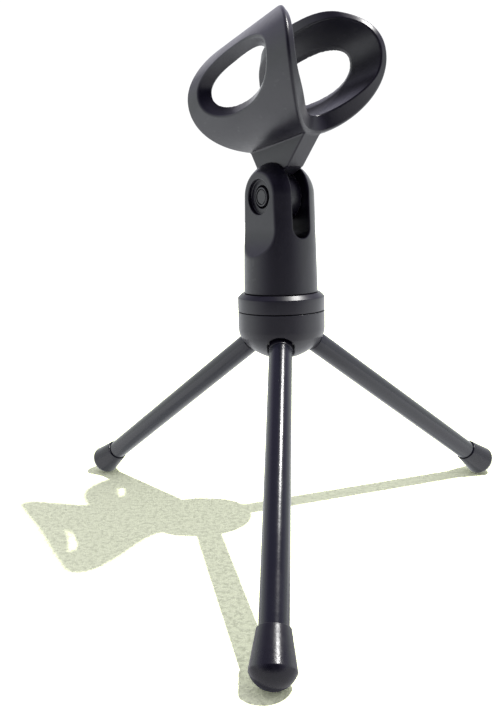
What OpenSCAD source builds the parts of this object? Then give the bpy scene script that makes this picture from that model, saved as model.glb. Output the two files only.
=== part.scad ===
// Folding desktop microphone tripod with a swivel barrel and an open, windowed clip.
// Units are millimetres. The origin is on the table, under the hub's axis, and +Z is up.
// The front leg points along -Y, and the other two are 120 degrees either side of it.

/* [Hub] */
// Radius of the hub's collar and body
hub_r = 15.5; // [15.2:0.1:16]
// Height of the seam between the hub's cap and its body
seam_z = 79.6; // [79:0.1:80.5]
// Height of the cap's flat top, where the barrel sits
cap_top_z = 85.9; // [85.4:0.1:87]
// Height of the cap's bevel
cap_bevel_h = 1.5; // [0.5:0.1:2]
// Radius of the hub's rounded underside
belly_r = 17.4; // [17:0.1:18]
// Relief at the two edges of the seam
seam_relief = 0.25; // [0.1:0.05:0.5]
// Length of the standard stand thread above the cap
stud_len = 11.6; // [8:0.1:12]
// Radius of the bolt that ties the hub together
bolt_r = 3; // [2.5:0.1:3.2]
// Radius of that bolt's head
bolt_head_r = 4.5; // [4:0.1:4.6]

/* [Legs] */
// Angle of an open leg from the vertical
leg_spread = 53.4; // [45:0.1:60]
// Distance of each hinge pin from the hub's axis
hinge_r = 9.5; // [9.2:0.1:10]
// Height of the hinge pins
hinge_z = 70.1; // [69.6:0.1:70.6]
// Outer radius of the leg tubes
tube_r = 4; // [3.7:0.05:4.2]
// Wall thickness of the leg tubes
tube_wall = 0.8; // [0.6:0.1:1.2]
// Width of the slots the legs fold in
slot_w = 9.5; // [9.2:0.1:9.8]
// Radius of the hinge pins
pin_r = 1.5; // [1:0.1:2]
// Length of the hinge pins
pin_len = 14; // [12:0.5:15]

/* [Feet] */
// Radius of the ball at the end of a rubber foot
foot_ball_r = 6.5; // [6.2:0.05:6.8]
// Radius of the lower edge of a foot's sloping part
foot_r = 6.13; // [5.8:0.01:6.18]
// Radius of a foot's upper edge
foot_top_r = 4.5; // [4.4:0.1:5]
// Length of a foot's sloping part
foot_slope_len = 10.3; // [9:0.1:13]
// How far the round end is worn flat where it meets the table
foot_flat_cut = 0.2; // [0.1:0.05:0.4]

/* [Barrel] */
// Radius of the barrel's lower end
barrel_base_r = 13.1; // [12.7:0.1:13.4]
// Radius of the barrel's domed upper end
barrel_top_r = 12.1; // [11.7:0.1:12.4]
// Height of the tilt pivot
pivot_z = 119; // [117:0.5:121]
// Distance from the barrel's axis to the flats beside the pivot
flat_y = 9; // [8.5:0.1:9.5]
// Height where the flats begin to run out into the barrel
flat_end_z = 108.3; // [107:0.1:109]
// Radius of that run-out
flat_scoop_r = 14; // [12:0.5:16]
// Width of the slot that holds the clip's tongue
fork_w = 7.25; // [7.2:0.05:8]
// Height of the bottom of that slot
fork_bottom_z = 104.9; // [104.5:0.1:107]
// Radius of the recess around the pivot screw
recess_r = 5.9; // [5:0.1:7]

/* [Clip] */
// Direction of the clip's axis, measured from the front leg towards +X
clip_azimuth = 40.5; // [30:0.5:50]
// Upward tilt of the clip's axis at rest
clip_tilt = 8.5; // [0:0.1:15]
// Height of the grip's axis above the pivot
grip_h = 36.1; // [36:0.1:40]
// Turn of the grip about its own axis, up on the +X side
grip_twist = 4; // [0:0.5:5]
// Radius of the grip's bore
grip_r = 14.4; // [13.5:0.1:14.7]
// Outer radius of the grip over the pivot
grip_outer_r = 19.7; // [19:0.1:20.2]
// Growth of the outer radius per millimetre towards the mouth
grip_taper = 0.02; // [0:0.005:0.05]
// Half the length of the grip's side outline
wing_half_len = 29.4; // [28:0.1:32]
// Half the width of the opening along the top
gap_half = 4.8; // [4:0.1:8]
// Half the length of the side windows
window_half_len = 18.8; // [15:0.1:19.5]
// Height of the side windows above their widest line
window_up = 7.6; // [6:0.1:9]
// Depth of the side windows below their widest line
window_down = 9.9; // [8:0.1:11]
// Thickness of the neck and tongue
neck_t = 7; // [6:0.05:7.1]
// Radius of the tongue around the pivot
tongue_r = 8; // [7:0.1:9]

/* [Output] */
// Which node to draw

/* [Hidden] */
$fn = 96;
eps = 0.01;
// Colours
satin_black = [0.07, 0.07, 0.08];
leg_black = [0.05, 0.05, 0.055];
rubber_black = [0.04, 0.04, 0.04];
steel = [0.62, 0.63, 0.65];
brass = [0.78, 0.62, 0.3];
// Directions of the legs, turned about +Z from the front
front = 0;
right = 120;
left = 240;
far = 200;
cut_len = 50;
// How far a cutting shape starts before the face it cuts
over = 1;
// Hub
cap_floor_z = seam_z + 2.4;
belly_z = seam_z - 0.1;
bolt_seat_z = 66;
bolt_head_h = 2.8;
bolt_reach = 10;
bolt_end_gap = 1;
bolt_bore_r = bolt_r + 0.1;
bolt_head_bore_r = bolt_head_r + 0.2;
slot_r = slot_w / 2;
slot_reach = 25;
socket_af = 4;
socket_depth = 1.6;
// Standard 5/8 inch stand thread, drawn as plain cylinders
thread_r = 7.94;
thread_gap = 0.05;
seat_gap = 0.05;
barrel_z = cap_top_z + seat_gap;
stud_end = cap_top_z - cap_floor_z + stud_len;
stud_chamfer = 1;
insert_r = 9.8;
insert_len = 12;
// Legs and feet
eye_half_w = 4.4;
eye_gap = 0.05;
tube_in_r = tube_r - tube_wall;
tube_start = 5;
plug_len = 12;
foot_ball_z = foot_ball_r - foot_flat_cut;
foot_ball_at = (hinge_z - foot_ball_z) / cos(leg_spread);
foot_edge_at = foot_ball_at + sqrt(foot_ball_r * foot_ball_r - foot_r * foot_r);
foot_top_at = foot_edge_at - foot_slope_len;
foot_end_wall = 8.5;
tube_end = foot_ball_at + foot_ball_r - foot_end_wall;
// Barrel
void_r = 7.9;
void_top_z = 103;
recess_y = 7.5;
bore_end_wall = 1;
head_seat_y = 5;
head_r = 3.3;
head_bore_r = 3.9;
head_h = 2.9;
groove_r = 2.35;
groove_w = 0.3;
groove_depth = 0.6;
screw_r = 2;
screw_bore_r = 2.05;
nut_af = 7;
nut_bore_af = 7.1;
nut_h = 2.6;
// Clip
outline_x = 7.4;
outline_power = 2.1;
outline_up = 19;
outline_down = 24.6;
outline_rise = 2.3;
outline_steps = 72;
window_x = 6;
window_rise = 2.7;
window_power = 2.2;
bore_rise = 0.7;
flare_start = 1;
flare_slope = 0.07;
flare_lift = 3;
neck_outline = [[-6.2, 0], [-6.6, 11.3], [-9, 16.6], [-9, 21], [17, 21], [20.7, 16.4],
    [10.4, 8.1], [4.5, 6.6], [4.5, 0]];

// Rounded-rectangle-like oval by formula, taller above its centre than below or the reverse
function oval(cx, cz, half_len, up, down, power) = [
    for (i = [0:outline_steps - 1])
        let (a = 360 * i / outline_steps, c = cos(a), s = sin(a))
        [cx + half_len * sign(c) * pow(abs(c), 2 / power),
            cz + (s > 0 ? up : down) * sign(s) * pow(abs(s), 2 / power)]
];

function hex_r(across_flats) = across_flats / sqrt(3);

// A cylinder along X from x0 to x1, with a radius at each end
module along_x(x0, x1, r0, r1) {
    translate([x0, 0, 0])
        rotate([0, 90, 0])
        cylinder(r1 = r0, r2 = r1, h = x1 - x0);
}

// A cylinder along Y from y0 to y1
module along_y(y0, y1, r) {
    translate([0, y0, 0])
        rotate([-90, 0, 0])
        cylinder(r = r, h = y1 - y0);
}

// An outline in the XZ plane, given thickness along Y
module side_plate(points, thickness) {
    rotate([90, 0, 0])
        linear_extrude(height = thickness, center = true)
        polygon(points);
}

// Frame of the barrel's fork: X along the slot, Y along the pivot screw
module fork_frame() {
    rotate([0, 0, clip_azimuth - 90])
        children();
}

// Frame of the clip: origin on the pivot, X along the grip's axis towards its mouth
module clip_frame() {
    fork_frame()
        translate([0, 0, pivot_z])
        rotate([0, -clip_tilt, 0])
        children();
}

// Frame of a leg: origin on its hinge pin, Z down the leg, Y along the pin
module leg_frame(azimuth, from_vertical) {
    rotate([0, 0, azimuth - 90])
        translate([hinge_r, 0, hinge_z])
        rotate([0, 180 - from_vertical, 0])
        children();
}

// ---- clip ----

// Origin on the grip's axis over the pivot, turned with the grip
module grip_frame() {
    translate([0, 0, grip_h])
        rotate([grip_twist, 0, 0])
        children();
}

module grip_body() {
    intersection() {
        along_x(-cut_len, cut_len, grip_outer_r - grip_taper * cut_len, grip_outer_r + grip_taper * cut_len);
        side_plate(oval(outline_x, outline_rise, wing_half_len,
            outline_up, outline_down, outline_power), far);
    }
}

// What is cut out of the grip: the opening along its top and the two windows
module grip_openings() {
    translate([-far / 2, -gap_half, 0])
        cube([far, 2 * gap_half, far]);
    side_plate(oval(window_x, window_rise, window_half_len,
        window_up, window_down, window_power), far);
}

// The hollow the microphone's handle goes in, straight at first and then widening
module grip_bore() {
    along_x(-far / 2, far / 2, grip_r, grip_r);
    translate([flare_start, 0, 0])
        rotate([0, -flare_lift, 0])
        along_x(0, cut_len, grip_r, grip_r + flare_slope * cut_len);
}

module mic_clip() {
    color(satin_black)
        clip_frame()
        difference() {
            union() {
                grip_frame()
                    grip_body();
                side_plate(neck_outline, neck_t);
                along_y(-neck_t / 2, neck_t / 2, tongue_r);
            }
            grip_frame()
                grip_openings();
            translate([0, 0, grip_h + bore_rise])
                grip_bore();
            along_y(-neck_t, neck_t, screw_bore_r);
        }
}

// ---- barrel ----

module fork_slot() {
    slot_centre_z = fork_bottom_z + fork_w / 2;
    translate([0, 0, slot_centre_z])
        along_x(-far / 2, far / 2, fork_w / 2, fork_w / 2);
    translate([-far / 2, -fork_w / 2, slot_centre_z])
        cube([far, fork_w, far]);
}

// What is cut away outside one flat, with a round run-out below it
module side_flat() {
    translate([-cut_len, flat_y, flat_end_z])
        cube([2 * cut_len, cut_len, cut_len]);
    translate([0, flat_y + flat_scoop_r, flat_end_z])
        along_x(-cut_len, cut_len, flat_scoop_r, flat_scoop_r);
}

// Stepped bore along Z: recess, head bore, then screw bore
module pivot_bore() {
    rotate_extrude()
        polygon([[0, -barrel_base_r], [recess_r, -barrel_base_r], [recess_r, -recess_y],
            [head_bore_r, -recess_y], [head_bore_r, -head_seat_y], [screw_bore_r, -head_seat_y],
            [screw_bore_r, barrel_top_r - bore_end_wall], [0, barrel_top_r - bore_end_wall]]);
}

module swivel_barrel() {
    color(satin_black)
        fork_frame()
        difference() {
            rotate_extrude() {
                polygon([[0, barrel_z], [barrel_base_r, barrel_z], [barrel_top_r, pivot_z], [0, pivot_z]]);
                intersection() {
                    translate([0, pivot_z])
                        circle(r = barrel_top_r);
                    translate([0, pivot_z])
                        square(barrel_top_r + over);
                }
            }
            translate([0, 0, barrel_z - over])
                cylinder(r = insert_r, h = insert_len + over);
            translate([0, 0, barrel_z])
                cylinder(r = void_r, h = void_top_z - barrel_z);
            fork_slot();
            side_flat();
            mirror([0, 1, 0])
                side_flat();
            translate([0, 0, pivot_z])
                rotate([-90, 0, 0]) {
                    pivot_bore();
                    translate([0, 0, head_seat_y])
                        cylinder(r = hex_r(nut_bore_af), h = barrel_base_r, $fn = 6);
                }
        }
}

module thread_insert() {
    color(brass)
        translate([0, 0, barrel_z])
        difference() {
            cylinder(r = insert_r, h = insert_len);
            translate([0, 0, -over])
                cylinder(r = thread_r, h = insert_len + 2 * over);
        }
}

module pivot_screw() {
    color(satin_black)
        fork_frame()
        translate([0, 0, pivot_z])
        difference() {
            union() {
                along_y(-head_seat_y - head_h, -head_seat_y, head_r);
                along_y(-head_seat_y, head_seat_y + nut_h, screw_r);
            }
            difference() {
                along_y(-cut_len, groove_depth - head_seat_y - head_h, groove_r + groove_w);
                along_y(-cut_len, groove_depth - head_seat_y - head_h + over, groove_r);
            }
        }
}

module pivot_nut() {
    color(steel)
        fork_frame()
        translate([0, head_seat_y, pivot_z])
        rotate([-90, 0, 0])
        difference() {
            cylinder(r = hex_r(nut_af), h = nut_h, $fn = 6);
            translate([0, 0, -over])
                cylinder(r = screw_r, h = nut_h + 2 * over);
        }
}

// ---- hub ----

module hub_cap() {
    color(satin_black)
        difference() {
            union() {
                translate([0, 0, seam_z])
                    cylinder(r1 = hub_r - seam_relief, r2 = hub_r, h = seam_relief);
                translate([0, 0, seam_z + seam_relief])
                    cylinder(r = hub_r, h = cap_top_z - cap_bevel_h - seam_z - seam_relief);
                translate([0, 0, cap_top_z - cap_bevel_h])
                    cylinder(r1 = hub_r, r2 = hub_r - cap_bevel_h, h = cap_bevel_h);
            }
            translate([0, 0, cap_floor_z])
                cylinder(r = thread_r, h = cut_len);
            translate([0, 0, seam_z - over])
                cylinder(r = bolt_bore_r, h = cut_len);
        }
}

module hub_stud() {
    color(steel)
        translate([0, 0, cap_floor_z])
        difference() {
            union() {
                cylinder(r = thread_r - thread_gap, h = stud_end - stud_chamfer);
                translate([0, 0, stud_end - stud_chamfer])
                    cylinder(r1 = thread_r - thread_gap, r2 = thread_r - stud_chamfer, h = stud_chamfer);
            }
            translate([0, 0, -over])
                cylinder(r = bolt_r, h = bolt_reach + over);
        }
}

module hub_bolt() {
    color(steel)
        difference() {
            union() {
                translate([0, 0, bolt_seat_z])
                    cylinder(r = bolt_r, h = cap_floor_z + bolt_reach - bolt_end_gap - bolt_seat_z);
                translate([0, 0, bolt_seat_z - bolt_head_h])
                    cylinder(r = bolt_head_r, h = bolt_head_h);
            }
            translate([0, 0, bolt_seat_z - bolt_head_h - over])
                cylinder(r = hex_r(socket_af), h = socket_depth + over, $fn = 6);
        }
}

// Space one leg needs between open and folded
module leg_slot(azimuth) {
    leg_frame(azimuth, leg_spread)
        cylinder(r = slot_r, h = cut_len);
    leg_frame(azimuth, 0)
        cylinder(r = slot_r, h = cut_len);
    rotate([0, 0, azimuth - 90])
        translate([hinge_r, 0, hinge_z]) {
            along_y(-slot_r, slot_r, slot_r);
            side_plate([[0, 0],
                [slot_reach * sin(leg_spread), -slot_reach * cos(leg_spread)],
                [slot_reach * sin(leg_spread), -slot_reach],
                [0, -slot_reach]], slot_w);
        }
}

module hub_body() {
    color(satin_black)
        difference() {
            intersection() {
                translate([0, 0, belly_z])
                    sphere(r = belly_r);
                union() {
                    translate([0, 0, belly_z - belly_r])
                        cylinder(r = hub_r, h = seam_z - seam_relief - belly_z + belly_r);
                    translate([0, 0, seam_z - seam_relief])
                        cylinder(r1 = hub_r, r2 = hub_r - seam_relief, h = seam_relief);
                }
            }
            for (azimuth = [front, right, left]) {
                leg_slot(azimuth);
                leg_frame(azimuth, 0)
                    along_y(-pin_len / 2, pin_len / 2, pin_r);
            }
            translate([0, 0, bolt_seat_z - cut_len])
                cylinder(r = bolt_head_bore_r, h = cut_len);
            cylinder(r = bolt_bore_r, h = far);
        }
}

// ---- legs ----

module leg_pin(azimuth) {
    color(steel)
        leg_frame(azimuth, leg_spread)
        along_y(-pin_len / 2, pin_len / 2, pin_r);
}

module leg_knuckle(azimuth) {
    color(satin_black)
        leg_frame(azimuth, leg_spread)
        difference() {
            union() {
                intersection() {
                    union() {
                        along_y(-eye_half_w, eye_half_w, tube_r);
                        cylinder(r = tube_r, h = tube_start);
                    }
                    translate([-tube_r, -eye_half_w, -tube_r])
                        cube([2 * tube_r, 2 * eye_half_w, tube_start + tube_r]);
                }
                translate([0, 0, tube_start - eps])
                    cylinder(r = tube_in_r, h = plug_len + eps);
            }
            along_y(-cut_len, cut_len, pin_r + eye_gap);
        }
}

module leg_tube(azimuth) {
    color(leg_black)
        leg_frame(azimuth, leg_spread)
        translate([0, 0, tube_start])
        difference() {
            cylinder(r = tube_r, h = tube_end - tube_start);
            translate([0, 0, -over])
                cylinder(r = tube_in_r, h = tube_end - tube_start + 2 * over);
        }
}

module rubber_foot(azimuth) {
    color(rubber_black)
        difference() {
            leg_frame(azimuth, leg_spread)
                difference() {
                    union() {
                        translate([0, 0, foot_top_at])
                            cylinder(r1 = foot_top_r, r2 = foot_r, h = foot_slope_len);
                        intersection() {
                            translate([0, 0, foot_ball_at])
                                sphere(r = foot_ball_r);
                            translate([0, 0, foot_edge_at - eps])
                                cylinder(r = foot_r, h = cut_len);
                        }
                    }
                    translate([0, 0, tube_start])
                        cylinder(r = tube_r, h = tube_end - tube_start);
                }
            translate([-far, -far, -far])
                cube([2 * far, 2 * far, far]);
        }
}

module leg_tube_front() leg_tube(front);
module leg_tube_right() leg_tube(right);
module leg_tube_left() leg_tube(left);
module leg_knuckle_front() leg_knuckle(front);
module leg_knuckle_right() leg_knuckle(right);
module leg_knuckle_left() leg_knuckle(left);
module leg_pin_front() leg_pin(front);
module leg_pin_right() leg_pin(right);
module leg_pin_left() leg_pin(left);
module rubber_foot_front() rubber_foot(front);
module rubber_foot_right() rubber_foot(right);
module rubber_foot_left() rubber_foot(left);

mic_clip();
swivel_barrel();
thread_insert();
pivot_screw();
pivot_nut();
hub_cap();
hub_stud();
hub_bolt();
hub_body();
leg_tube_front();
leg_tube_right();
leg_tube_left();
leg_knuckle_front();
leg_knuckle_right();
leg_knuckle_left();
leg_pin_front();
leg_pin_right();
leg_pin_left();
rubber_foot_front();
rubber_foot_right();
rubber_foot_left();
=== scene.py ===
"""Looks of the folding desktop microphone tripod: rounded shapes, finishes, floor, light and camera.

Shapes are worked out in millimetres in the frame of the piece, and put into the row frame in metres.
"""
import math

import bmesh
import bpy
import numpy as np
import openvdb
from mathutils import Matrix, Vector


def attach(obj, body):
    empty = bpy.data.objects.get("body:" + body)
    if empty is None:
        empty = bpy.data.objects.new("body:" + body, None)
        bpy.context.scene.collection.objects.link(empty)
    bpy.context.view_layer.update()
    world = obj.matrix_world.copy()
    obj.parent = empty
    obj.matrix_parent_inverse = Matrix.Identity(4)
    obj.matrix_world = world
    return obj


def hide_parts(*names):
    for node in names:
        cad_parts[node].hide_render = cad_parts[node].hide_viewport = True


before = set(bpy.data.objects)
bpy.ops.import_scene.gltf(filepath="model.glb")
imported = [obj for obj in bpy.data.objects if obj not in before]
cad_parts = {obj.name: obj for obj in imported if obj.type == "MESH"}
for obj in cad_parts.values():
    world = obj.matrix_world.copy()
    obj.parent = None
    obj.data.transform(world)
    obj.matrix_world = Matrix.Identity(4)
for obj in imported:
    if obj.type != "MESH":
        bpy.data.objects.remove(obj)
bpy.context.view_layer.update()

MM = 0.001

# ---- sizes shared by several pieces, in millimetres and degrees ----

HUB_R = 15.5
SEAM_Z = 79.6
SEAM_HALF = 0.12
SEAM_DEPTH = 0.8
CAP_TOP_Z = 85.9
CAP_BEVEL = 1.5
CAP_FLOOR_Z = 82.0
BELLY_R = 17.4
BELLY_Z = 79.5
BOLT_R = 3.0
BOLT_HEAD_R = 4.5
BOLT_HEAD_H = 2.8
BOLT_SEAT_Z = 66.0
BOLT_REACH = 10.0
BOLT_BORE_R = BOLT_R + 0.1
BOLT_HEAD_BORE_R = BOLT_HEAD_R + 0.2
SOCKET_AF = 4.0
SOCKET_DEPTH = 1.6
THREAD_R = 7.94
THREAD_PITCH = 0.94
THREAD_DEPTH = 0.4
STUD_CREST_R = THREAD_R - 0.05
INSERT_ROOT_R = THREAD_R + 0.46
STUD_CHAMFER = 0.9
STUD_LEN = 11.6

HINGE_R = 9.5
HINGE_Z = 70.1
LEG_SPREAD = 53.4
TUBE_R = 4.0
TUBE_IN_R = 3.2
TUBE_START = 5.0
TUBE_END = 105.0
PLUG_LEN = 12.0
SLOT_R = 4.75
EYE_HALF_W = 4.4
PIN_R = 1.5
PIN_LEN = 14.0
EYE_BORE_R = PIN_R + 0.05
FOOT_R = 6.13
FOOT_TOP_R = 4.5
FOOT_SLOPE_LEN = 10.3
FOOT_BALL_R = 6.5
FOOT_BALL_Z = 6.3

BARREL_Z = 85.95
BARREL_BASE_R = 13.1
BARREL_TOP_R = 12.1
PIVOT_Z = 119.0
FLAT_Y = 9.0
FLAT_END_Z = 108.3
FLAT_SCOOP_R = 14.0
FORK_HALF_W = 3.625
FORK_BOTTOM_Z = 104.9
RECESS_R = 5.9
RECESS_Y = 7.5
HEAD_BORE_R = 3.9
HEAD_SEAT_Y = 5.0
HEAD_R = 3.3
HEAD_H = 2.9
SCREW_R = 2.0
SCREW_BORE_R = SCREW_R + 0.05
RING_R = 2.5
RING_HALF_W = 0.16
RING_DEPTH = 0.6
DISC_DEPTH = 0.12
NUT_AF = 7.0
NUT_BORE_AF = NUT_AF + 0.1
NUT_H = 2.6
INSERT_R = 9.8
INSERT_LEN = 12.0
KNURLS = 60
KNURL_DEPTH = 0.12
WAIST_HALF_W = 1.0
WAIST_DEPTH = 0.7
VOID_R = 7.9
VOID_TOP_Z = 103.0

CLIP_AZIMUTH = 40.5
CLIP_TILT = 8.5
GRIP_H = 36.1
GRIP_TWIST = 4.0
GRIP_R = 14.4
GRIP_OUTER_R = 19.7
GRIP_TAPER = 0.02
GAP_HALF = 4.7
NECK_HALF_T = 3.5
TONGUE_R = 8.0
NECK_OUTLINE = ((-6.2, 0), (-6.6, 11.3), (-9, 16.6), (-9, 21), (17, 21), (20.7, 16.4),
                (10.4, 8.1), (4.5, 6.6), (4.5, 0))

LEG_AZIMUTHS = {"front": 0.0, "right": 120.0, "left": 240.0}


# ---- frames ----

def turn(angle, axis):
    return np.array(Matrix.Rotation(math.radians(angle), 4, axis))


def shift(x, y, z):
    return np.array(Matrix.Translation((x, y, z)))


ROW = np.eye(4)
FORK = turn(CLIP_AZIMUTH - 90, "Z")
CLIP = FORK @ shift(0, 0, PIVOT_Z) @ turn(-CLIP_TILT, "Y")


def leg_frame(azimuth, from_vertical=LEG_SPREAD):
    """Origin on the hinge pin, Z down the leg, Y along the pin."""
    return turn(azimuth - 90, "Z") @ shift(HINGE_R, 0, HINGE_Z) @ turn(180 - from_vertical, "Y")


def into(matrix, x, y, z):
    """Coordinates in a frame of points given in the row frame."""
    m = np.linalg.inv(matrix)
    return tuple(m[i, 0] * x + m[i, 1] * y + m[i, 2] * z + m[i, 3] for i in range(3))


# ---- shapes by formula: negative inside, close to the distance near the surface ----

def both(a, b, radius=0.0):
    """Inside a and b, with the edge between them rounded off."""
    if radius <= 0:
        return np.maximum(a, b)
    rim = np.hypot(np.maximum(a + radius, 0), np.maximum(b + radius, 0))
    return np.minimum(-radius, np.maximum(a, b)) + rim


def either(a, b, radius=0.0):
    """Inside a or b, with a fillet between them."""
    return -both(-a, -b, radius)


def less(a, b, radius=0.0):
    """Inside a but not b, with the edge rounded off."""
    return both(a, -b, radius)


def oval(x, z, cx, cz, near, away, up, down, power):
    """Superellipse with its own half-size on each side."""
    dx, dz = x - cx, z - cz
    a = np.where(dx > 0, near, away)
    b = np.where(dz > 0, up, down)
    u, v = np.abs(dx) / a, np.abs(dz) / b
    f = (u ** power + v ** power) ** (1 / power)
    slope = np.maximum(f, 1e-6) ** (1 - power) * np.hypot(u ** (power - 1) / a, v ** (power - 1) / b)
    return (f - 1) / np.maximum(slope, 1e-3)


def polygon(x, z, points):
    """Exact distance to a closed outline given clockwise or anticlockwise."""
    best = np.full(np.shape(x), np.inf)
    inside = np.zeros(np.shape(x), bool)
    for (ax, az), (bx, bz) in zip(points, points[1:] + points[:1]):
        ex, ez = bx - ax, bz - az
        px, pz = x - ax, z - az
        t = np.clip((px * ex + pz * ez) / (ex * ex + ez * ez), 0, 1)
        best = np.minimum(best, np.hypot(px - t * ex, pz - t * ez))
        if az != bz:
            inside ^= ((az > z) != (bz > z)) & (x < ax + ex * (z - az) / ez)
    return np.where(inside, -best, best)


def hexagon(x, y, across_flats):
    half = across_flats / 2
    sides = [np.abs(x * math.cos(a) + y * math.sin(a)) for a in (math.pi / 6, math.pi / 2, 5 * math.pi / 6)]
    return np.maximum.reduce(sides) - half


def span(z, low, high):
    return np.maximum(low - z, z - high)


def thread(x, y, z, radius):
    """The stand's screw thread, with its outer ridges at a radius."""
    angle = np.arctan2(y, x) / (2 * math.pi)
    phase = np.mod(z / THREAD_PITCH - angle, 1.0)
    valley = np.clip(np.abs(phase - 0.5) * 4 - 0.5, 0, 1)
    return (np.hypot(x, y) - radius + THREAD_DEPTH * valley) * 0.6


# ---- meshing ----

def slopes(field, p, step=0.02):
    """Gradient of a field at points, by central differences."""
    g = np.empty_like(p)
    for i in range(3):
        d = np.zeros(3)
        d[i] = step
        g[:, i] = (field(*(p + d).T) - field(*(p - d).T)) / (2 * step)
    return g


def settle(field, p, rounds, limit):
    """Moves points along the field's slope until they lie on its surface."""
    for _ in range(rounds):
        g = slopes(field, p)
        move = (field(*p.T) / np.maximum((g * g).sum(1), 0.05))[:, None] * g
        size = np.linalg.norm(move, axis=1, keepdims=True)
        p = p - move * np.minimum(1, limit / np.maximum(size, 1e-9))
    return p


def relax(p, quads, rounds, field, limit):
    """Evens out the spacing of the points and puts them back on the surface."""
    a = np.concatenate([quads[:, i] for i in range(4)])
    b = np.concatenate([quads[:, (i + 1) % 4] for i in range(4)])
    count = np.bincount(a, minlength=len(p)) + np.bincount(b, minlength=len(p))
    for _ in range(rounds):
        mean = np.empty_like(p)
        for i in range(3):
            total = np.bincount(a, p[b, i], len(p)) + np.bincount(b, p[a, i], len(p))
            mean[:, i] = total / np.maximum(count, 1)
        p = settle(field, p + 0.5 * (mean - p), 2, limit)
    return p


def surface(name, field, low, high, cell, matrix=ROW):
    """Closed quad mesh of a field's surface, with the field's own normals."""
    cell = cell * 1.0
    low, high = np.array(low, float) - 3 * cell, np.array(high, float) + 3 * cell
    shape = np.ceil((high - low) / cell).astype(int) + 1
    axes = [low[i] + cell * np.arange(shape[i]) for i in range(3)]
    values = np.empty(shape, np.float32)
    for i, x in enumerate(axes[0]):
        y, z = np.meshgrid(axes[1], axes[2], indexing="ij")
        values[i] = np.clip(field(np.full_like(y, x), y, z), -3 * cell, 3 * cell)
    grid = openvdb.FloatGrid(3 * cell)
    grid.copyFromArray(values)
    points, quads = grid.convertToQuads()
    p = low + points.astype(float) * cell
    p = settle(field, p, 3, cell)
    p = relax(p, quads, 3, field, cell / 2)
    p = settle(field, p, 2, cell / 4)
    normals = slopes(field, p)
    normals /= np.maximum(np.linalg.norm(normals, axis=1, keepdims=True), 1e-9)
    a, b, c = (p[quads[:, i]] for i in (0, 1, 2))
    facing = (np.cross(b - a, c - a) * normals[quads[:, 0]]).sum()
    if facing < 0:
        quads = quads[:, ::-1]
    world = (p @ matrix[:3, :3].T + matrix[:3, 3]) * MM
    mesh = bpy.data.meshes.new(name)
    mesh.from_pydata(world.tolist(), [], quads.tolist())
    mesh.shade_smooth()
    mesh.normals_split_custom_set_from_vertices((normals @ matrix[:3, :3].T).tolist())
    return show(name, mesh)


def show(name, mesh):
    obj = bpy.data.objects.new(name, mesh)
    bpy.context.scene.collection.objects.link(obj)
    return obj


def soften(profile, segments=6):
    """Rounds each corner (r, z, radius) of a closed profile."""
    out = []
    n = len(profile)
    for i, (r, z, radius) in enumerate(profile):
        here = Vector((r, z))
        back = Vector(profile[i - 1][:2]) - here
        ahead = Vector(profile[(i + 1) % n][:2]) - here
        if radius <= 0:
            out.append((r, z))
            continue
        corner = back.angle(ahead)
        reach = radius / math.tan(corner / 2)
        reach = min(reach, back.length * 0.49, ahead.length * 0.49)
        radius = reach * math.tan(corner / 2)
        bisector = (back.normalized() + ahead.normalized()).normalized()
        centre = here + bisector * (radius / math.sin(corner / 2))
        first = here + back.normalized() * reach - centre
        last = here + ahead.normalized() * reach - centre
        sweep = math.atan2(first.x * last.y - first.y * last.x, first.dot(last))
        for k in range(segments + 1):
            t = sweep * k / segments
            out.append((centre.x + first.x * math.cos(t) - first.y * math.sin(t),
                        centre.y + first.x * math.sin(t) + first.y * math.cos(t)))
    return out


def turned(name, profile, matrix=ROW, steps=128, longest=4.0):
    """Lathed closed ring or solid from (r, z) points; points on the axis become one vertex."""
    steps = steps
    fine = []
    for i, (r, z) in enumerate(profile):
        r1, z1 = profile[(i + 1) % len(profile)]
        fine.append((r, z))
        parts = 1 if max(r, r1) < 1e-6 else int(math.hypot(r1 - r, z1 - z) // longest)
        fine += [(r + (r1 - r) * k / parts, z + (z1 - z) * k / parts) for k in range(1, parts)]
    verts, rings = [], []
    for r, z in fine:
        if r < 1e-6:
            rings.append([len(verts)] * steps)
            verts.append((0.0, 0.0, z))
        else:
            rings.append(list(range(len(verts), len(verts) + steps)))
            verts += [(r * math.cos(2 * math.pi * k / steps), r * math.sin(2 * math.pi * k / steps), z)
                      for k in range(steps)]
    faces = []
    for i, ring in enumerate(rings):
        after = rings[(i + 1) % len(rings)]
        if ring[0] == ring[1] and after[0] == after[1]:
            continue
        for k in range(steps):
            face = (ring[k], ring[(k + 1) % steps], after[(k + 1) % steps], after[k])
            face = tuple(dict.fromkeys(face))
            faces.append(face)
    p = np.array(verts) @ matrix[:3, :3].T + matrix[:3, 3]
    mesh = bpy.data.meshes.new(name)
    mesh.from_pydata((p * MM).tolist(), [], faces)
    mesh.validate()
    obj = show(name, mesh)
    outward(mesh)
    mesh.shade_smooth()
    mesh.set_sharp_from_angle(angle=math.radians(50))
    return obj


def outward(mesh):
    """Turns every face of a closed mesh to face out."""
    bm = bmesh.new()
    bm.from_mesh(mesh)
    bmesh.ops.recalc_face_normals(bm, faces=bm.faces)
    bm.to_mesh(mesh)
    bm.free()


# ---- the clip ----

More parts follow.
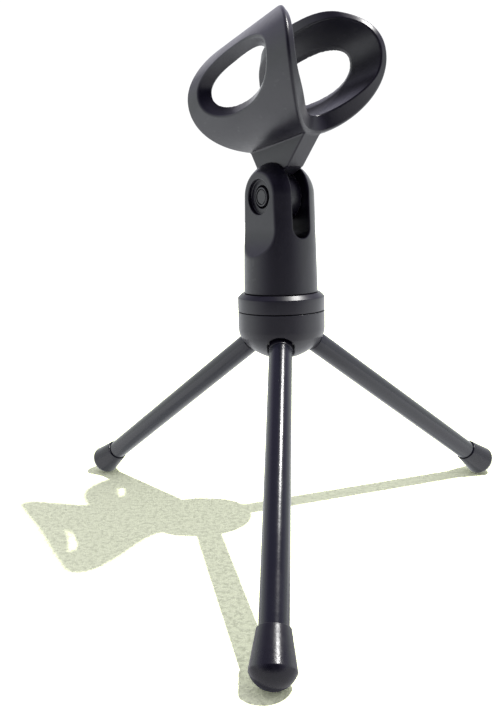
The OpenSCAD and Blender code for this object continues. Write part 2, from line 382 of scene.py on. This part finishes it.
WING_CENTRE = (6.28, 2.3)
WING_NEAR = 30.5
WING_AWAY = 28.2
WING_UP = 19.0
WING_DOWN = 25.4
WING_POWER = 2.08
WING_EDGE_R = 0.9
WING_TIP_R = 7.0
WINDOW_CENTRE = (7.04, 2.7)
WINDOW_NEAR = 19.2
WINDOW_AWAY = 21.4
WINDOW_UP = 9.0
WINDOW_DOWN = 11.4
WINDOW_POWER = 2.2
WINDOW_BEVEL = 3.1
WINDOW_CREST = 0.75
WINDOW_INNER_BEVEL = 1.4
BORE_RISE = 0.7
FLARE_START = 1.0
FLARE_SLOPE = 0.09
FLOOR_SLOPE = 0.02


def bore_radius(x, y, z):
    """The bore widens towards the mouth, at its sides and top more than along its floor."""
    up = np.clip((z + 16.0) / 12.0, 0, 1)
    up = up * up * (3 - 2 * up)
    return GRIP_R + (FLOOR_SLOPE + (FLARE_SLOPE - FLOOR_SLOPE) * up) * np.maximum(x - FLARE_START, 0)


def grip_field(x, y, z):
    """The windowed tube the microphone lies in, about its own axis."""
    r = np.hypot(y, z)
    outer_r = GRIP_OUTER_R + GRIP_TAPER * x
    # the rims are cut square to the wall, so the outline shrinks with the radius
    fanned = z * outer_r / np.maximum(r, GRIP_R / 2)
    outline = oval(x, fanned, *WING_CENTRE, WING_NEAR, WING_AWAY, WING_UP, WING_DOWN, WING_POWER)
    outline = less(outline, np.maximum(np.abs(y) - GAP_HALF, -z), WING_TIP_R)
    body = both(r - outer_r, outline, WING_EDGE_R)
    bore_r = bore_radius(x, y, z)
    body = less(body, np.hypot(y, z - BORE_RISE) - bore_r, 0.6)
    depth = np.clip((outer_r - r) / (outer_r - bore_r), -0.1, 1.1)
    narrow = WINDOW_BEVEL * np.minimum(depth / WINDOW_CREST, 1)
    narrow = narrow - WINDOW_INNER_BEVEL * np.maximum(depth - WINDOW_CREST, 0) / (1 - WINDOW_CREST)
    window = oval(x, z, *WINDOW_CENTRE, WINDOW_NEAR, WINDOW_AWAY, WINDOW_UP, WINDOW_DOWN, WINDOW_POWER)
    return less(body, window + narrow, 0.6)


def clip_field(x, y, z):
    turned_by = math.radians(GRIP_TWIST)
    rise = z - GRIP_H
    grip = grip_field(x, y * math.cos(turned_by) + rise * math.sin(turned_by),
                      rise * math.cos(turned_by) - y * math.sin(turned_by))
    neck = both(polygon(x, z, NECK_OUTLINE), np.abs(y) - NECK_HALF_T, 0.5)
    tongue = both(np.hypot(x, z) - TONGUE_R, np.abs(y) - NECK_HALF_T, 0.5)
    # the neck stops at the bore
    bore_r = bore_radius(x, y, rise) + 0.8
    neck = less(neck, np.hypot(y, rise - BORE_RISE) - bore_r)
    body = either(grip, either(neck, tongue, 0.5), 0.5)
    return less(body, np.hypot(x, z) - SCREW_BORE_R, 0.3)


# ---- the barrel and its hardware ----

def barrel_field(x, y, z):
    r = np.hypot(x, y)
    taper = (BARREL_BASE_R - BARREL_TOP_R) / (PIVOT_Z - BARREL_Z)
    side = (r - BARREL_TOP_R - taper * (PIVOT_Z - z)) * math.cos(math.atan(taper))
    dome = np.hypot(r, np.maximum(z - PIVOT_Z, 0)) - BARREL_TOP_R
    body = np.where(z > PIVOT_Z, dome, side)
    body = both(body, BARREL_Z - z, 0.35)
    ay = np.abs(y)
    drop = np.clip(FLAT_END_Z - z, 0, FLAT_SCOOP_R * 0.95)
    scoop = FLAT_SCOOP_R - np.sqrt(FLAT_SCOOP_R ** 2 - drop ** 2)
    steep = drop / FLAT_SCOOP_R
    body = less(body, (FLAT_Y + scoop - ay) * np.sqrt(1 - steep ** 2), 0.4)
    slot_z = FORK_BOTTOM_Z + FORK_HALF_W
    slot = np.hypot(y, np.minimum(z - slot_z, 0)) - FORK_HALF_W
    body = less(body, slot, 0.45)
    around = np.hypot(x, z - PIVOT_Z)
    body = less(body, both(around - RECESS_R, y + RECESS_Y, 0.3), 0.3)
    body = less(body, np.maximum(around - HEAD_BORE_R, y + HEAD_SEAT_Y), 0.15)
    body = less(body, around - SCREW_BORE_R, 0.2)
    body = less(body, np.maximum(hexagon(x, z - PIVOT_Z, NUT_BORE_AF), HEAD_SEAT_Y - y), 0.25)
    body = less(body, np.maximum(r - INSERT_R, z - BARREL_Z - INSERT_LEN), 0.3)
    return less(body, both(r - VOID_R, z - VOID_TOP_Z, 0.8), 0.3)


def screw_field(x, y, z):
    """In the fork's frame, moved so that the pivot is the origin."""
    r = np.hypot(x, z)
    face = -HEAD_SEAT_Y - HEAD_H
    head = both(r - HEAD_R, span(y, face, -HEAD_SEAT_Y), 0.35)
    ring = both(np.abs(r - RING_R) - RING_HALF_W, y - face - RING_DEPTH)
    head = less(head, ring, 0.08)
    head = less(head, both(r - RING_R, y - face - DISC_DEPTH), 0.08)
    shank = both(r - SCREW_R, span(y, -HEAD_SEAT_Y, HEAD_SEAT_Y + NUT_H), 0.3)
    return either(head, shank, 0.1)


def nut_field(x, y, z):
    r = np.hypot(x, z)
    body = both(hexagon(x, z, NUT_AF), span(y, HEAD_SEAT_Y, HEAD_SEAT_Y + NUT_H), 0.15)
    body = np.maximum(body, (r + np.abs(y - HEAD_SEAT_Y - NUT_H / 2) - NUT_AF / math.sqrt(3) - 0.75) * 0.7)
    return less(body, r - SCREW_R, 0.15)


def insert_field(x, y, z):
    r = np.hypot(x, y)
    t = z - BARREL_Z
    from_waist = np.abs(t - INSERT_LEN / 2)
    knurl = KNURL_DEPTH * np.abs(np.sin(KNURLS / 2 * np.arctan2(y, x)))
    body = both(r - INSERT_R + knurl * (from_waist > WAIST_HALF_W + 0.2), span(t, 0, INSERT_LEN), 0.3)
    waist = both(from_waist - WAIST_HALF_W, INSERT_R - WAIST_DEPTH - r, 0.2)
    body = less(body, waist, 0.2)
    return less(body, thread(x, y, z, INSERT_ROOT_R), 0.05)


def stud_field(x, y, z):
    top = CAP_TOP_Z + STUD_LEN
    body = both(thread(x, y, z, STUD_CREST_R), span(z, CAP_FLOOR_Z, top), 0.1)
    r = np.hypot(x, y)
    body = both(body, (r + z - THREAD_R - top + STUD_CHAMFER) * 0.7, 0.1)
    return less(body, np.maximum(r - BOLT_R, z - CAP_FLOOR_Z - BOLT_REACH), 0.2)


# ---- the hub ----

def hub_body_field(x, y, z):
    r = np.hypot(x, y)
    ball = np.sqrt(r * r + (z - BELLY_Z) ** 2) - BELLY_R
    body = both(r - HUB_R, ball, 0.7)
    body = both(body, z - SEAM_Z, 0.1)
    body = less(body, both(HUB_R - SEAM_DEPTH - r, SEAM_Z - SEAM_HALF - z), 0.12)
    for azimuth in LEG_AZIMUTHS.values():
        px, py, pz = into(leg_frame(azimuth, 0), x, y, z)
        # a folded leg runs along +pz; an open one leans towards the outside, which is -px here
        lean = math.radians(LEG_SPREAD)
        out = -px
        past_open = out * math.cos(lean) - pz * math.sin(lean)
        inward = -out
        wedge = np.maximum(past_open, inward)
        along_open = out * math.sin(lean) + pz * math.cos(lean)
        wedge = np.where((past_open > inward) & (along_open < 0), np.hypot(out, pz), wedge)
        wedge = np.where((past_open <= inward) & (pz < 0), np.hypot(out, pz), wedge)
        slot = np.hypot(np.maximum(wedge, 0), py) - SLOT_R
        body = less(body, slot, 0.35)
        pin = np.maximum(np.hypot(px, pz) - PIN_R, np.abs(py) - PIN_LEN / 2)
        body = less(body, pin, 0.1)
    body = less(body, np.maximum(r - BOLT_HEAD_BORE_R, z - BOLT_SEAT_Z), 0.3)
    return less(body, r - BOLT_BORE_R, 0.2)


def hub_cap():
    seam_r = HUB_R - SEAM_DEPTH
    return turned("hub_cap_finished", soften([
        (BOLT_BORE_R, SEAM_Z, 0.15), (seam_r, SEAM_Z, 0.1), (seam_r, SEAM_Z + SEAM_HALF, 0),
        (HUB_R, SEAM_Z + SEAM_HALF, 0.15), (HUB_R, CAP_TOP_Z - CAP_BEVEL, 0.5),
        (HUB_R - CAP_BEVEL, CAP_TOP_Z, 0.35), (THREAD_R, CAP_TOP_Z, 0.3), (THREAD_R, CAP_FLOOR_Z, 0.2),
        (BOLT_BORE_R, CAP_FLOOR_Z, 0.15)]), steps=192)


def bolt_field(x, y, z):
    r = np.hypot(x, y)
    head = both(r - BOLT_HEAD_R, span(z, BOLT_SEAT_Z - BOLT_HEAD_H, BOLT_SEAT_Z), 0.35)
    shank = both(r - BOLT_R, span(z, BOLT_SEAT_Z - 1, CAP_FLOOR_Z + BOLT_REACH - 1), 0.4)
    body = either(head, shank, 0.1)
    low = BOLT_SEAT_Z - BOLT_HEAD_H
    return less(body, both(hexagon(x, y, SOCKET_AF), z - low - SOCKET_DEPTH, 0.1), 0.2)


# ---- the legs ----

def knuckle_field(x, y, z):
    r = np.hypot(x, y)
    eye = np.where(z > 0, np.abs(x), np.hypot(x, z)) - TUBE_R
    barrel = both(eye, span(z, -TUBE_R - 1, TUBE_START), 0.3)
    barrel = both(barrel, np.abs(y) - EYE_HALF_W, 0.5)
    body = both(barrel, np.where(z > 0, r, -1) - TUBE_R, 0.2)
    plug = both(r - TUBE_IN_R, span(z, TUBE_START - 1, TUBE_START + PLUG_LEN), 0.4)
    body = either(body, plug, 0.1)
    return less(body, np.hypot(x, z) - EYE_BORE_R, 0.2)


def leg_tube(name, azimuth):
    wall = soften([(TUBE_IN_R, TUBE_START, 0.2), (TUBE_R, TUBE_START, 0.35),
                   (TUBE_R, TUBE_END, 0.3), (TUBE_IN_R, TUBE_END, 0.2)])
    return turned(f"leg_tube_{name}_finished", wall, leg_frame(azimuth), steps=96, longest=3.0)


def leg_pin(name, azimuth):
    half = PIN_LEN / 2
    across = leg_frame(azimuth) @ turn(-90, "X")
    return turned(f"leg_pin_{name}_finished", soften([
        (0, -half, 0), (PIN_R, -half, 0.3), (PIN_R, half, 0.3), (0, half, 0)]), across, steps=64)


def rubber_foot(name, azimuth):
    ball_at = (HINGE_Z - FOOT_BALL_Z) / math.cos(math.radians(LEG_SPREAD))
    edge = math.sqrt(FOOT_BALL_R ** 2 - FOOT_R ** 2)
    top = ball_at + edge - FOOT_SLOPE_LEN
    # socket, lip, slope, then the round end
    outline = soften([(0, TUBE_END, 0), (TUBE_R, TUBE_END, 0.3), (TUBE_R, top, 0.15),
                      (FOOT_TOP_R, top, 0.3), (FOOT_R, ball_at + edge, 0.9),
                      (FOOT_R * 0.93, ball_at + edge + 2.0, 0)], segments=8)[:-1]
    start = math.atan2(edge, FOOT_R) + 0.14
    arc = 24
    for k in range(arc):
        t = start + (math.pi / 2 - start) * k / arc
        outline.append((FOOT_BALL_R * math.cos(t), ball_at + FOOT_BALL_R * math.sin(t)))
    outline.append((0, ball_at + FOOT_BALL_R))
    foot = turned(f"rubber_foot_{name}_finished", outline, leg_frame(azimuth), steps=128, longest=0.8)
    for v in foot.data.vertices:
        v.co.z = max(v.co.z, 0.0)
    return foot


# ---- finishes ----

def blank(name):
    mat = bpy.data.materials.new(name)
    mat.use_nodes = True
    nodes = mat.node_tree.nodes
    nodes.clear()
    return mat, nodes, mat.node_tree.links


def put(nodes, kind, **settings):
    """Adds a node; settings that match an input set its default, others set the node's own property."""
    node = nodes.new(kind)
    for key, value in settings.items():
        label = key.replace("_", " ")
        if label in node.inputs:
            node.inputs[label].default_value = value
        else:
            setattr(node, key, value)
    return node


def noise(nodes, links, coords, scale, detail=3.0, roughness=0.55):
    node = put(nodes, "ShaderNodeTexNoise", Scale=scale, Detail=detail, Roughness=roughness)
    links.new(coords, node.inputs["Vector"])
    return node.outputs["Fac"]


def spread(nodes, links, value, low, high, to_low, to_high):
    node = put(nodes, "ShaderNodeMapRange")
    node.clamp = True
    for label, number in zip(("From Min", "From Max", "To Min", "To Max"), (low, high, to_low, to_high)):
        node.inputs[label].default_value = number
    links.new(value, node.inputs["Value"])
    return node.outputs["Result"]


def add(nodes, links, a, b, operation="ADD"):
    node = nodes.new("ShaderNodeMath")
    node.operation = operation
    for socket, value in zip(node.inputs, (a, b)):
        if isinstance(value, (int, float)):
            socket.default_value = value
        else:
            links.new(value, socket)
    return node.outputs[0]


def finish(name, colour, worn_and_glint_colour, roughness, patch, grain, grain_height, wave=0.0, wave_scale=900.0,
           coat=0.0, coat_roughness=0.1, specular=0.5, metallic=0.0, wear_and_glints=0.5, sheen=0.0):
    """Principled finish: patchy roughness, fine grain, broad waviness, paler rubbed edges, and pale specks
    that are partly dust and partly painted glints.

    colour and the paler second colour, used on rubbed edges and on the dust specks and painted glints, are
    linear RGB; patch is how far roughness wanders; heights are in millimetres.
    """
    mat, nodes, links = blank(name)
    coords = nodes.new("ShaderNodeTexCoord").outputs["Object"]
    out = nodes.new("ShaderNodeOutputMaterial")
    bsdf = put(nodes, "ShaderNodeBsdfPrincipled", Metallic=metallic)
    bsdf.inputs["Specular IOR Level"].default_value = specular
    bsdf.inputs["Coat Weight"].default_value = coat
    bsdf.inputs["Sheen Weight"].default_value = sheen
    bsdf.inputs["Sheen Roughness"].default_value = 0.3
    bsdf.inputs["Coat Roughness"].default_value = coat_roughness
    links.new(bsdf.outputs[0], out.inputs["Surface"])
    # handled and untouched areas
    smudges = noise(nodes, links, coords, 55.0, 4.0, 0.6)
    fine = noise(nodes, links, coords, 700.0, 2.0, 0.5)
    mottled = add(nodes, links, smudges, add(nodes, links, fine, 0.35, "MULTIPLY"))
    links.new(spread(nodes, links, mottled, 0.45, 0.95, roughness - patch, roughness + patch),
              bsdf.inputs["Roughness"])
    # rubbed edges, and pale specks that are partly stray dust and partly painted glints
    point = nodes.new("ShaderNodeNewGeometry").outputs["Pointiness"]
    rubbed = spread(nodes, links, point, 0.51, 0.60, 0.0, 1.0)
    rubbed = add(nodes, links, rubbed, spread(nodes, links, smudges, 0.35, 0.7, 0.2, 1.0), "MULTIPLY")
    dust_and_glints = spread(nodes, links, noise(nodes, links, coords, 2600.0, 1.0, 0.4), 0.74, 0.80, 0.0, 0.5)
    pale = add(nodes, links, add(nodes, links, rubbed, wear_and_glints, "MULTIPLY"),
               add(nodes, links, dust_and_glints, wear_and_glints, "MULTIPLY"))
    mix = put(nodes, "ShaderNodeMix", data_type="RGBA")
    mix.inputs["A"].default_value = (*colour, 1)
    mix.inputs["B"].default_value = (*worn_and_glint_colour, 1)
    mix.clamp_factor = True
    links.new(pale, mix.inputs["Factor"])
    links.new(mix.outputs["Result"], bsdf.inputs["Base Color"])
    # surface relief
    bump = put(nodes, "ShaderNodeBump", Distance=grain_height * MM, Strength=1.0)
    links.new(noise(nodes, links, coords, grain, 3.0, 0.6), bump.inputs["Height"])
    links.new(bump.outputs["Normal"], bsdf.inputs["Normal"])
    if wave > 0:
        broad = put(nodes, "ShaderNodeBump", Distance=wave * MM, Strength=1.0)
        links.new(noise(nodes, links, coords, wave_scale, 1.0, 0.5), broad.inputs["Height"])
        links.new(broad.outputs["Normal"], bump.inputs["Normal"])
        links.new(broad.outputs["Normal"], bsdf.inputs["Coat Normal"])
    return mat


def make_finishes():
    return {
        "satin_black_plastic": finish("satin_black_plastic", (0.0034, 0.0026, 0.0080), (0.03, 0.03, 0.034),
                                      0.37, 0.07, 5200.0, 0.0025, wave=0.004, wave_scale=160.0, sheen=0.27),
        "hub_black_plastic": finish("hub_black_plastic", (0.0034, 0.0026, 0.0080), (0.03, 0.03, 0.034),
                                    0.37, 0.07, 5200.0, 0.0025, wave=0.003, wave_scale=200.0),
        "black_coated_metal": finish("black_coated_metal", (0.0055, 0.006, 0.012), (0.03, 0.03, 0.034),
                                     0.24, 0.06, 6000.0, 0.002, wave=0.014, wave_scale=1300.0,
                                     coat=0.15, coat_roughness=0.14, specular=0.5),
        "black_rubber": finish("black_rubber", (0.0055, 0.005, 0.010), (0.03, 0.03, 0.035),
                               0.33, 0.12, 1900.0, 0.03, wave=0.03, wave_scale=420.0, specular=0.5),
        "brass": finish("brass", (0.62, 0.42, 0.16), (0.75, 0.55, 0.25), 0.32, 0.1,
                        3000.0, 0.004, metallic=1.0),
        "black_screw": finish("black_screw", (0.012, 0.012, 0.015), (0.12, 0.12, 0.12), 0.34, 0.08,
                              4000.0, 0.004, specular=0.5),
        "plated_steel": finish("plated_steel", (0.5, 0.51, 0.53), (0.65, 0.65, 0.66), 0.26, 0.08,
                               3000.0, 0.003, metallic=1.0),
    }


# ---- putting the pieces together ----

def dress(obj, body, slot, finishes, *nodes):
    """Gives a finished piece its material and body, and hides the CAD nodes it stands for."""
    obj.data.materials.clear()
    obj.data.materials.append(finishes[slot])
    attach(obj, body)
    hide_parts(*nodes)


def build(finishes):
    at_pivot = FORK @ shift(0, 0, PIVOT_Z)
    clip = surface("mic_clip_finished", clip_field, (-26, -22, -9), (38, 22, 58), 0.36, CLIP)
    dress(clip, "clip", "satin_black_plastic", finishes, "mic_clip")
    barrel = surface("swivel_barrel_finished", barrel_field, (-14, -14, 85), (14, 14, 132), 0.3, FORK)
    dress(barrel, "barrel", "hub_black_plastic", finishes, "swivel_barrel")
    screw = surface("pivot_screw_finished", screw_field, (-4, -9, -4), (4, 9, 4), 0.11, at_pivot)
    dress(screw, "barrel", "black_screw", finishes, "pivot_screw")
    nut = surface("pivot_nut_finished", nut_field, (-5, 4, -5), (5, 9, 5), 0.15, at_pivot)
    dress(nut, "barrel", "plated_steel", finishes, "pivot_nut")
    insert = surface("thread_insert_finished", insert_field, (-10, -10, 85), (10, 10, 98.5), 0.2)
    dress(insert, "barrel", "brass", finishes, "thread_insert")
    stud = surface("hub_stud_finished", stud_field, (-8, -8, 81), (8, 8, 98), 0.2)
    dress(stud, "hub", "plated_steel", finishes, "hub_stud")
    bolt = surface("hub_bolt_finished", bolt_field, (-5, -5, 62), (5, 5, 92), 0.2)
    dress(bolt, "hub", "plated_steel", finishes, "hub_bolt")
    body = surface("hub_body_finished", hub_body_field, (-16.5, -16.5, 61), (16.5, 16.5, 81), 0.28)
    dress(body, "hub", "hub_black_plastic", finishes, "hub_body")
    dress(hub_cap(), "hub", "hub_black_plastic", finishes, "hub_cap")
    for name, azimuth in LEG_AZIMUTHS.items():
        rides = f"leg_{name}"
        knuckle = surface(f"leg_knuckle_{name}_finished", knuckle_field, (-5, -5, -5.5), (5, 5, 18.5), 0.2,
                          leg_frame(azimuth))
        dress(knuckle, rides, "hub_black_plastic", finishes, f"leg_knuckle_{name}")
        dress(leg_tube(name, azimuth), rides, "black_coated_metal", finishes, f"leg_tube_{name}")
        dress(rubber_foot(name, azimuth), rides, "black_rubber", finishes, f"rubber_foot_{name}")
        dress(leg_pin(name, azimuth), "hub", "black_screw", finishes, f"leg_pin_{name}")


# ---- floor, light and camera ----

FLOOR_REACH = 30.0
FLOOR_ALBEDO = 0.6
FLOOR_GAIN = 1.75
FLOOR_TINT = (1.03, 1.10, 0.68)
WALLS = 1.25
WALL_TINT = (0.94, 0.985, 0.97)
DARK_TINT = (1.0, 0.9, 1.45)
FLOOR_GLOW = 0.7
FLOOR_GLOW_FRONT = 0.07
WALL_FRONT = 0.03
CEILING = 0.26
# distances from the hub's axis where the floor turns white, and where it sweeps up into the walls
WHITENS = (0.19, 0.45)
SWEEPS = (0.06, 0.6)
LAMP_PLACE = (0.373, 0.003, 0.976)
LAMP_TARGET = (0, 0, 0.05)
LAMP_POWER = 11.0
LAMP_SIZE = 0.014
LAMP_COLOUR = (1, 0.99, 0.97)


def make_floor():
    """A pale sheet. The camera sees it brighter than the object does, and white far from the object."""
    far = FLOOR_REACH
    mesh = bpy.data.meshes.new("floor")
    mesh.from_pydata([(-far, -far, 0), (far, -far, 0), (far, far, 0), (-far, far, 0)], [], [(0, 1, 2, 3)])
    floor = show("floor", mesh)
    mat, nodes, links = blank("table_top")
    coords = nodes.new("ShaderNodeTexCoord").outputs["Object"]
    out = nodes.new("ShaderNodeOutputMaterial")
    # fine wrinkles in the sheet: bumped, and their shade also painted into its colour as darker flecks
    fibre = noise(nodes, links, coords, 620.0, 2.0, 0.65)
    crease_shade = spread(nodes, links, fibre, 0.38, 0.54, 0.80, 1.04)
    tint = put(nodes, "ShaderNodeMix", data_type="RGBA", blend_type="MULTIPLY")
    tint.inputs["Factor"].default_value = 1.0
    tint.inputs["A"].default_value = (*(c * FLOOR_GAIN for c in FLOOR_TINT), 1)
    links.new(crease_shade, tint.inputs["B"])
    seen = put(nodes, "ShaderNodeBsdfDiffuse")
    links.new(tint.outputs["Result"], seen.inputs["Color"])
    bump = put(nodes, "ShaderNodeBump", Distance=0.0004, Strength=0.6)
    links.new(fibre, bump.inputs["Height"])
    links.new(bump.outputs["Normal"], seen.inputs["Normal"])
    away = nodes.new("ShaderNodeVectorMath")
    away.operation = "LENGTH"
    links.new(coords, away.inputs[0])
    glow = put(nodes, "ShaderNodeEmission", Color=(1, 1, 1, 1))
    links.new(spread(nodes, links, away.outputs["Value"], *WHITENS, 0.0, 1.0), glow.inputs["Strength"])
    bright = nodes.new("ShaderNodeAddShader")
    links.new(seen.outputs[0], bright.inputs[0])
    links.new(glow.outputs[0], bright.inputs[1])
    plain = put(nodes, "ShaderNodeBsdfDiffuse", Color=(FLOOR_ALBEDO, FLOOR_ALBEDO, FLOOR_ALBEDO, 1))
    # what the pieces see and are lit by: the sheet glows with painted light, standing in for pale walls it
    # sweeps up into, except behind the camera
    towards = nodes.new("ShaderNodeVectorMath")
    towards.operation = "NORMALIZE"
    links.new(coords, towards.inputs[0])
    split = nodes.new("ShaderNodeSeparateXYZ")
    links.new(towards.outputs[0], split.inputs[0])
    sides = spread(nodes, links, split.outputs["Y"], -0.85, -0.20, FLOOR_GLOW_FRONT, 1.0)
    sweep = spread(nodes, links, away.outputs["Value"], *SWEEPS, FLOOR_GLOW, 1.0)
    wall = put(nodes, "ShaderNodeEmission", Color=(*WALL_TINT, 1))
    links.new(add(nodes, links, add(nodes, links, sides, sweep, "MULTIPLY"), WALLS, "MULTIPLY"),
              wall.inputs["Strength"])
    reflected = nodes.new("ShaderNodeAddShader")
    links.new(plain.outputs[0], reflected.inputs[0])
    links.new(wall.outputs[0], reflected.inputs[1])
    mix = nodes.new("ShaderNodeMixShader")
    links.new(nodes.new("ShaderNodeLightPath").outputs["Is Camera Ray"], mix.inputs["Fac"])
    links.new(reflected.outputs[0], mix.inputs[1])
    links.new(bright.outputs[0], mix.inputs[2])
    links.new(mix.outputs[0], out.inputs["Surface"])
    mesh.materials.append(mat)


def make_world():
    """White to the camera; to the rest a room with pale walls, dark behind the camera and overhead."""
    world = bpy.data.worlds.new("room")
    world.use_nodes = True
    nodes, links = world.node_tree.nodes, world.node_tree.links
    nodes.clear()
    out = nodes.new("ShaderNodeOutputWorld")
    way = nodes.new("ShaderNodeNewGeometry").outputs["Incoming"]
    split = nodes.new("ShaderNodeSeparateXYZ")
    links.new(way, split.inputs[0])
    # Incoming points back along the ray, so the signs are turned round
    front = spread(nodes, links, split.outputs["Y"], 0.20, 0.85, 1.0, WALL_FRONT)
    ceiling = spread(nodes, links, split.outputs["Z"], -0.75, -0.22, CEILING, 1.0)
    level = add(nodes, links, front, ceiling, "MULTIPLY")
    tint = put(nodes, "ShaderNodeMix", data_type="RGBA")
    tint.inputs["A"].default_value = (*DARK_TINT, 1)
    tint.inputs["B"].default_value = (*WALL_TINT, 1)
    links.new(level, tint.inputs["Factor"])
    room = nodes.new("ShaderNodeBackground")
    links.new(tint.outputs["Result"], room.inputs["Color"])
    links.new(add(nodes, links, level, WALLS, "MULTIPLY"), room.inputs["Strength"])
    white = put(nodes, "ShaderNodeBackground", Color=(1, 1, 1, 1), Strength=1.05)
    mix = nodes.new("ShaderNodeMixShader")
    links.new(nodes.new("ShaderNodeLightPath").outputs["Is Camera Ray"], mix.inputs["Fac"])
    links.new(room.outputs[0], mix.inputs[1])
    links.new(white.outputs[0], mix.inputs[2])
    links.new(mix.outputs[0], out.inputs["Surface"])
    bpy.context.scene.world = world


def aim(obj, place, target):
    obj.location = place
    obj.rotation_euler = (Vector(target) - Vector(place)).to_track_quat("-Z", "Y").to_euler()


def make_lamp(name, place, target, power, size, colour=(1, 1, 1)):
    data = bpy.data.lights.new(name, "AREA")
    data.shape = "DISK"
    data.size = size
    data.energy = power
    data.color = colour
    lamp = bpy.data.objects.new(name, data)
    bpy.context.scene.collection.objects.link(lamp)
    aim(lamp, place, target)
    return lamp


def make_lights():
    make_lamp("lamp", LAMP_PLACE, LAMP_TARGET, LAMP_POWER, LAMP_SIZE, LAMP_COLOUR)


CAMERA_PLACE = (0.0090906, -0.240394, 0.111556)
CAMERA_YAW = -4.9587
CAMERA_PITCH = 11.5193
CAMERA_ROLL = 1.6519
CAMERA_LENS = 33.99
CAMERA_SENSOR = 36


def make_camera():
    """Turned about the vertical, then tipped down, then rolled."""
    yaw, pitch, roll = (math.radians(a) for a in (CAMERA_YAW, CAMERA_PITCH, CAMERA_ROLL))
    forward = Vector((math.sin(yaw) * math.cos(pitch), math.cos(yaw) * math.cos(pitch), -math.sin(pitch)))
    right = Vector((math.cos(yaw), -math.sin(yaw), 0))
    up = right.cross(forward)
    side = right * math.cos(roll) - up * math.sin(roll)
    top = right * math.sin(roll) + up * math.cos(roll)
    pose = Matrix((side, top, -forward)).transposed().to_4x4()
    pose.translation = CAMERA_PLACE
    data = bpy.data.cameras.new("camera")
    data.lens = CAMERA_LENS
    data.sensor_width = CAMERA_SENSOR
    data.clip_start = 0.005
    camera = bpy.data.objects.new("camera", data)
    bpy.context.scene.collection.objects.link(camera)
    camera.matrix_world = pose
    bpy.context.scene.camera = camera


def set_view():
    view = bpy.context.scene.view_settings
    view.view_transform = "Standard"
    view.look = "None"
    view.exposure = 0
    view.gamma = 1


build(make_finishes())
make_floor()
make_world()
make_lights()
make_camera()
set_view()
